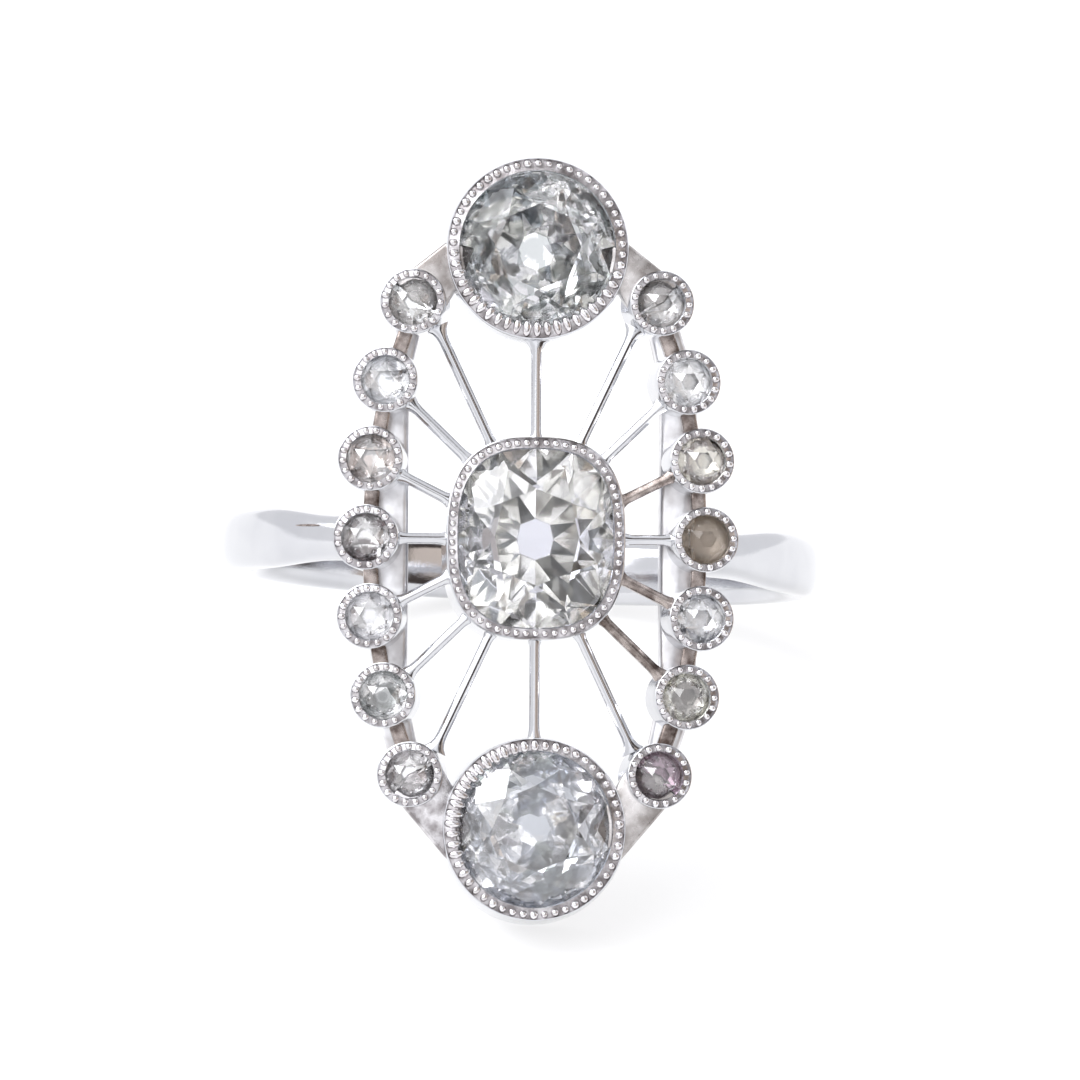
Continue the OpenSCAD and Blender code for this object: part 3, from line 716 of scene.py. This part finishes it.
def unevenNormal(tree, place, below, uneven):  # cracks and hand-cut facets: each patch is tilted its own way
    patches = addNode(tree, "ShaderNodeTexVoronoi", None, {"Vector": place, "Scale": 1000 / uneven["patchMm"]})
    centred = addNode(tree, "ShaderNodeVectorMath", {"operation": "SUBTRACT"}, {
        0: patches.outputs["Color"], 1: (0.5, 0.5, 0.5)})
    amount = addNode(tree, "ShaderNodeMath", {"operation": "MULTIPLY_ADD"}, {
        0: below, 1: uneven["back"] - uneven["front"], 2: uneven["front"]})
    tilt = addNode(tree, "ShaderNodeVectorMath", {"operation": "SCALE"}, {
        0: centred.outputs["Vector"], "Scale": amount.outputs["Value"]})
    normal = addNode(tree, "ShaderNodeNewGeometry").outputs["Normal"]
    leaning = addNode(tree, "ShaderNodeVectorMath", {"operation": "ADD"}, {0: normal, 1: tilt.outputs["Vector"]})
    facing = addNode(tree, "ShaderNodeVectorMath", {"operation": "NORMALIZE"}, {0: leaning.outputs["Vector"]})
    return facing.outputs["Vector"]


def facetChance(tree, seed):  # one random number to each cut facet, from its normal rounded off
    normal = addNode(tree, "ShaderNodeNewGeometry").outputs["True Normal"]
    moved = addNode(tree, "ShaderNodeVectorMath", {"operation": "ADD"}, {0: normal, 1: (0.013, 0.017, 0.011)})
    rounded = addNode(tree, "ShaderNodeVectorMath", {"operation": "SNAP"}, {
        0: moved.outputs["Vector"], 1: (0.05, 0.05, 0.05)})
    facet = addNode(tree, "ShaderNodeTexWhiteNoise", {"noise_dimensions": "4D"}, {
        "Vector": rounded.outputs["Vector"], "W": seed})
    return facet.outputs["Value"]


def shardChance(tree, place, cloudAndReflections, chip):  # one random number to each shard of a cracked stone, clouded over
    noise = addNode(tree, "ShaderNodeTexNoise", None, {
        "Vector": place, "Scale": 1000 / cloudAndReflections["sizeMm"], "Detail": 2.0, "Roughness": 0.65, "Distortion": 0.4})
    both = addNode(tree, "ShaderNodeMix", {"data_type": "FLOAT"}, {
        0: 0.5, 2: noise.outputs["Fac"], 3: chip.outputs["Red"]})
    return both.outputs[0]


def paintedDarkFacets(tree, below, paintedDarkList, shade):  # facets of the back that let light out, painted dark as painted shade, and the shade with them in it
    normal = addNode(tree, "ShaderNodeNewGeometry").outputs["True Normal"]
    right, up, out = (addNode(tree, "ShaderNodeVectorMath", {"operation": "DOT_PRODUCT"}, {
        0: normal, 1: axis}).outputs["Value"] for axis in axes)
    flat = addNode(tree, "ShaderNodeCombineXYZ", None, {"X": right, "Y": up})
    level = addNode(tree, "ShaderNodeVectorMath", {"operation": "NORMALIZE"}, {0: flat.outputs["Vector"]})
    # the normal is turned over where light meets the back from inside, and this turns its level part outward again
    sign = addNode(tree, "ShaderNodeMath", {"operation": "SIGN"}, {0: out})
    outward = addNode(tree, "ShaderNodeMath", {"operation": "MULTIPLY"}, {0: sign.outputs["Value"], 1: -1.0})
    upright = addNode(tree, "ShaderNodeMath", {"operation": "ABSOLUTE"}, {0: out})
    darkPainted = 0.0
    for darkFacet in paintedDarkList:
        angle = math.radians(darkFacet["azimuth"])
        near = addNode(tree, "ShaderNodeVectorMath", {"operation": "DOT_PRODUCT"}, {
            0: level.outputs["Vector"], 1: (math.cos(angle), math.sin(angle), 0)})
        toward = addNode(tree, "ShaderNodeMath", {"operation": "MULTIPLY"}, {
            0: near.outputs["Value"], 1: outward.outputs["Value"]})
        within = addNode(tree, "ShaderNodeMath", {"operation": "GREATER_THAN"}, {
            0: toward.outputs["Value"], 1: math.cos(math.radians(darkFacet["halfWidth"]))})
        steep = addNode(tree, "ShaderNodeMath", {"operation": "GREATER_THAN"}, {
            0: upright.outputs["Value"], 1: darkFacet["steepness"]})
        both = addNode(tree, "ShaderNodeMath", {"operation": "MULTIPLY"}, {
            0: within.outputs["Value"], 1: steep.outputs["Value"]})
        share = addNode(tree, "ShaderNodeMath", {"operation": "MULTIPLY"}, {0: both.outputs["Value"], 1: below})
        darkPainted = addNode(tree, "ShaderNodeMath", {"operation": "MAXIMUM"}, {
            0: darkPainted, 1: share.outputs["Value"]}).outputs["Value"]
        shade = addNode(tree, "ShaderNodeMix", {"data_type": "RGBA"}, {
            0: share.outputs["Value"], 6: shade, 7: colour(darkFacet["colour"])}).outputs[2]
    return darkPainted, shade


def spottedAndGlinting(tree, place, chip, middle, spotsAndGlints, shade):  # inclusions, painted highlights and painted dark reflections, whose edges the shards make ragged
    right, up = (addNode(tree, "ShaderNodeVectorMath", {"operation": "DOT_PRODUCT"}, {
        0: place, 1: axis}).outputs["Value"] for axis in (sideAxis, fingerAxis))
    flat = addNode(tree, "ShaderNodeCombineXYZ", None, {"X": right, "Y": up})
    for x, y, radius, code in spotsAndGlints:
        radius = radius / 1000
        away = addNode(tree, "ShaderNodeVectorMath", {"operation": "DISTANCE"}, {
            0: flat.outputs["Vector"], 1: ((middle[0] + x) / 1000, (middle[1] + y) / 1000, 0)})
        ragged = addNode(tree, "ShaderNodeMath", {"operation": "MULTIPLY_ADD"}, {
            0: chip.outputs["Green"], 1: 2 * radius * spotEdge["ragged"], 2: -radius * spotEdge["ragged"]})
        edge = addNode(tree, "ShaderNodeMath", {"operation": "ADD"}, {
            0: away.outputs["Value"], 1: ragged.outputs["Value"]})
        share = addNode(tree, "ShaderNodeMapRange", {"interpolation_type": "SMOOTHSTEP"}, {
            "Value": edge.outputs["Value"],
            "From Min": radius * (1 + spotEdge["soft"]), "From Max": radius * (1 - spotEdge["soft"])})
        shade = addNode(tree, "ShaderNodeMix", {"data_type": "RGBA"}, {
            0: share.outputs["Result"], 6: shade, 7: colour(code)}).outputs[2]
    return shade


def stoneMaterial(name, look, backLevel, culetLevel, middle):
    # below backLevel on the head's axis the facets are the back, and below culetLevel the culet
    material, tree, output, place = newMaterial(name)
    cloudAndReflections, facets, shine = look["cloudAndReflections"], look.get("facets"), look["shine"]  # an old, scratched surface glints less
    clear = addNode(tree, "ShaderNodeBsdfPrincipled", None, {
        "Base Color": colour(look["tint"]), "Roughness": 0.0, "IOR": 2.417, "Transmission Weight": 1.0,
        "Specular Tint": (shine, shine, shine, 1)})
    milkyPaintedBack = addNode(tree, "ShaderNodeBsdfPrincipled", None, {"Roughness": cloudAndReflections["haze"], "Metallic": cloudAndReflections["foil"]})
    height = addNode(tree, "ShaderNodeVectorMath", {"operation": "DOT_PRODUCT"}, {0: place, 1: headAxis})
    height = height.outputs["Value"]
    below = addNode(tree, "ShaderNodeMath", {"operation": "LESS_THAN"}, {0: height, 1: backLevel}).outputs["Value"]
    if look.get("uneven"):
        tree.links.new(unevenNormal(tree, place, below, look["uneven"]), clear.inputs["Normal"])
    shards = addNode(tree, "ShaderNodeTexVoronoi", None, {"Vector": place, "Scale": 1000 / cloudAndReflections["shardMm"]})
    chip = addNode(tree, "ShaderNodeSeparateColor", None, {"Color": shards.outputs["Color"]})
    number = facetChance(tree, facets["seed"]) if facets else shardChance(tree, place, cloudAndReflections, chip)
    # the back's tones, one to each facet or shard: inclusions and painted reflections of the facets
    tone = addNode(tree, "ShaderNodeValToRGB", None, {"Fac": number})
    low, high = tone.color_ramp.elements
    low.position, high.position = (0.15, 0.85) if facets else (0.3, 0.68)
    low.color, high.color = colour(cloudAndReflections["dark"]), colour(cloudAndReflections["light"])
    tone.color_ramp.elements.new(0.5).color = colour(cloudAndReflections["middle"])
    shade = tone.outputs["Color"]
    covered = addNode(tree, "ShaderNodeMath", {"operation": "MULTIPLY"}, {0: below, 1: cloudAndReflections["share"]}).outputs["Value"]
    if facets:  # the culet isn't polished, nor quite square to the axis, and is painted pale grey: painted light for what shows through it
        darkPainted, shade = paintedDarkFacets(tree, below, facets["paintedDarkList"], shade)
        frosted = addNode(tree, "ShaderNodeMath", {"operation": "LESS_THAN"}, {0: height, 1: culetLevel})
        frosted = frosted.outputs["Value"]
        shade = addNode(tree, "ShaderNodeMix", {"data_type": "RGBA"}, {
            0: frosted, 6: shade, 7: colour(facets["culet"])}).outputs[2]
        for part, share in ((frosted, facets["culetShare"]), (darkPainted, facets["paintedDarkShare"])):
            amount = addNode(tree, "ShaderNodeMath", {"operation": "MULTIPLY"}, {0: part, 1: share})
            covered = addNode(tree, "ShaderNodeMath", {"operation": "MAXIMUM"}, {
                0: covered, 1: amount.outputs["Value"]}).outputs["Value"]
        rough = addNode(tree, "ShaderNodeMath", {"operation": "MULTIPLY"}, {0: frosted, 1: facets["culetRough"]})
        rough = addNode(tree, "ShaderNodeMath", {"operation": "MAXIMUM"}, {0: rough.outputs["Value"], 1: cloudAndReflections["haze"]})
        tree.links.new(rough.outputs["Value"], milkyPaintedBack.inputs["Roughness"])
        lean = addNode(tree, "ShaderNodeVectorMath", {"operation": "SCALE"}, {
            0: sideAxis * facets["culetLean"], "Scale": frosted})
        normal = addNode(tree, "ShaderNodeNewGeometry").outputs["Normal"]
        leant = addNode(tree, "ShaderNodeVectorMath", {"operation": "ADD"}, {0: lean.outputs["Vector"], 1: normal})
        tree.links.new(leant.outputs["Vector"], milkyPaintedBack.inputs["Normal"])
    if look.get("spotsAndGlints"):
        shade = spottedAndGlinting(tree, place, chip, middle, look["spotsAndGlints"], shade)
    tree.links.new(shade, milkyPaintedBack.inputs["Base Color"])
    mixed = addNode(tree, "ShaderNodeMixShader", None, {0: covered, 1: clear.outputs["BSDF"], 2: milkyPaintedBack.outputs["BSDF"]})
    tree.links.new(mixed.outputs["Shader"], output.inputs["Surface"])
    return material


def headHeight(mm):  # a level above the finger, as a distance along the head's axis in the frame
    return (ringPlace @ Vector((0, 0, mm))).dot(headAxis)


for name, look in stones.items():
    node = frame["nodes"][name]
    corners = [node.matrix_world @ v.co for v in node.data.vertices]
    girdleDrop, backDrop = seat[look["slot"]]
    backLevel = headHeight(ring["rimZ"] - girdleDrop - backDrop)
    culetLevel = min(v.dot(headAxis) for v in corners) + culetRise / 1000
    middle = [1000 * sum(v.dot(axis) for v in corners) / len(corners) for axis in (sideAxis, fingerAxis)]
    node.data.materials.clear()
    cutName = look["cut"] + name.title().replace("_", "")
    node.data.materials.append(stoneMaterial(cutName, look, backLevel, culetLevel, middle))
print("Stones dressed")

# Studio: white table and white surround. Directions are as seen from the ring: right, towards
# the upper end of the head, and out of the head.
studio = {
    "table": {"size": 3.0, "sides": 64, "drop": 0.00002, "colour": "#9C9C9D", "rough": 0.9, "glow": 0.67},
    "surround": (1.0, 1.0, 1.03),
    "backdrop": (1.0, 1.0, 1.0),  # what the camera sees
    "patches": [  # direction, squash, inner and outer angle, colour
        ((-1.0, 0.1, 0.2), (1, 1, 1), 40, 70, (1.02, 1.02, 1.05)),  # white wall on the left
        ((-0.12, 0.1, 0.99), (1, 1, 1), 14, 30, (1.35, 1.35, 1.39)),  # the ceiling, lit from the window
        ((0.68, 0.03, 0.73), (1, 0.5, 1), 13, 22, (0.08, 0.065, 0.06)),  # the dark room, on the right
        ((0.9, 0.0, 0.42), (1, 0.5, 1), 9, 16, (0.62, 0.52, 0.46)),  # a beige wall behind it
        ((0.6, 0.12, 0.79), (1, 1, 1), 10, 14, (0.85, 0.74, 0.66)),  # a beige card in front of it
        ((0.33, 0.19, 0.925), (1, 1, 1), 7, 10, (0.06, 0.054, 0.056)),  # the dark side behind the camera
        ((0.3, -0.6, 0.72), (1, 1, 1), 11, 17, (0.26, 0.21, 0.175)),  # brown things beyond the table
        ((-0.25, -0.5, 0.8), (1, 1, 1), 6, 12, (0.2, 0.19, 0.19)),
        ((0.12, 0.6, 0.78), (1, 1, 1), 9, 15, (0.14, 0.12, 0.11)),
        ((-0.5, 0.5, 0.707), (1, 1, 1), 21, 27, (3.0, 3.0, 3.06)),  # the window's net curtain
        ((-0.672, 0.672, 0.309), (1, 1, 1), 15, 23, (8.0, 8.0, 8.15)),  # the window, up on the left
    ],
}


def makeTable():
    table = studio["table"]
    selectNone()
    bpy.ops.mesh.primitive_circle_add(
        vertices=table["sides"], radius=table["size"] / 2, fill_type="NGON", location=(0, 0, -table["drop"]))
    floor = bpy.context.object
    floor.name = "floor"
    material, tree, output, place = newMaterial("whiteTable")
    shader = addNode(tree, "ShaderNodeBsdfPrincipled", None, {
        "Base Color": colour(table["colour"]), "Roughness": table["rough"],
        "Emission Color": colour("#FFFFFF"), "Emission Strength": table["glow"]})
    tree.links.new(shader.outputs["BSDF"], output.inputs["Surface"])
    floor.data.materials.append(material)


def makeSurround():
    world = bpy.data.worlds.new("studio")
    bpy.context.scene.world = world
    world.use_nodes = True
    tree = world.node_tree
    tree.nodes.clear()
    direction = addNode(tree, "ShaderNodeTexCoord").outputs["Generated"]
    right, up, out = (addNode(tree, "ShaderNodeVectorMath", {"operation": "DOT_PRODUCT"}, {
        0: direction, 1: axis}).outputs["Value"] for axis in axes)
    seen = addNode(tree, "ShaderNodeCombineXYZ", None, {"X": right, "Y": up, "Z": out})
    shade = (*studio["surround"], 1)
    for toward, squash, inner, outer, tint in studio["patches"]:
        flat = addNode(tree, "ShaderNodeVectorMath", {"operation": "MULTIPLY"}, {0: seen.outputs["Vector"], 1: squash})
        unit = addNode(tree, "ShaderNodeVectorMath", {"operation": "NORMALIZE"}, {0: flat.outputs["Vector"]})
        near = addNode(tree, "ShaderNodeVectorMath", {"operation": "DOT_PRODUCT"}, {
            0: unit.outputs["Vector"], 1: Vector(toward).normalized()})
        share = addNode(tree, "ShaderNodeMapRange", {"interpolation_type": "SMOOTHSTEP"}, {
            "Value": near.outputs["Value"],
            "From Min": math.cos(math.radians(outer)), "From Max": math.cos(math.radians(inner))})
        shade = addNode(tree, "ShaderNodeMix", {"data_type": "RGBA"}, {
            0: share.outputs["Result"], 6: shade, 7: (*tint, 1)}).outputs[2]
    cameraRay = addNode(tree, "ShaderNodeLightPath").outputs["Is Camera Ray"]
    shade = addNode(tree, "ShaderNodeMix", {"data_type": "RGBA"}, {
        0: cameraRay, 6: shade, 7: (*studio["backdrop"], 1)}).outputs[2]
    background = addNode(tree, "ShaderNodeBackground", None, {"Color": shade, "Strength": 1.0})
    addNode(tree, "ShaderNodeOutputWorld", None, {"Surface": background.outputs["Background"]})


makeTable()
makeSurround()
print("Studio made")

# Camera, fitted to the photograph: a little below and to the left of straight on to the head
camera = {
    "target": (0.000121, -0.0061704, 0.011524), "azimuth": -3.0, "elevation": 27.9, "distance": 0.25,
    "roll": 1.89, "lens": 266.44, "sensor": 36, "clip": (0.01, 10),
}


def makeCamera():
    data = bpy.data.cameras.new("camera")
    data.lens, data.sensor_width = camera["lens"], camera["sensor"]
    data.clip_start, data.clip_end = camera["clip"]
    item = bpy.data.objects.new("camera", data)
    bpy.context.collection.objects.link(item)
    a, e = math.radians(camera["azimuth"]), math.radians(camera["elevation"])
    back = Vector((math.sin(a) * math.cos(e), -math.cos(a) * math.cos(e), math.sin(e)))
    roll = Matrix.Rotation(math.radians(camera["roll"]), 4, "Z").to_quaternion()
    item.location = Vector(camera["target"]) + back * camera["distance"]
    item.rotation_mode = "QUATERNION"
    item.rotation_quaternion = (-back).to_track_quat("-Z", "Y") @ roll
    bpy.context.scene.camera = item


makeCamera()
bpy.context.scene.view_settings.view_transform = "Standard"
bpy.context.scene.view_settings.exposure = 0.0
paths = bpy.context.scene.cycles  # light turns round inside a cut stone many times before it comes out
paths.max_bounces, paths.glossy_bounces, paths.transmission_bounces = 14, 12, 12
print("Camera set")
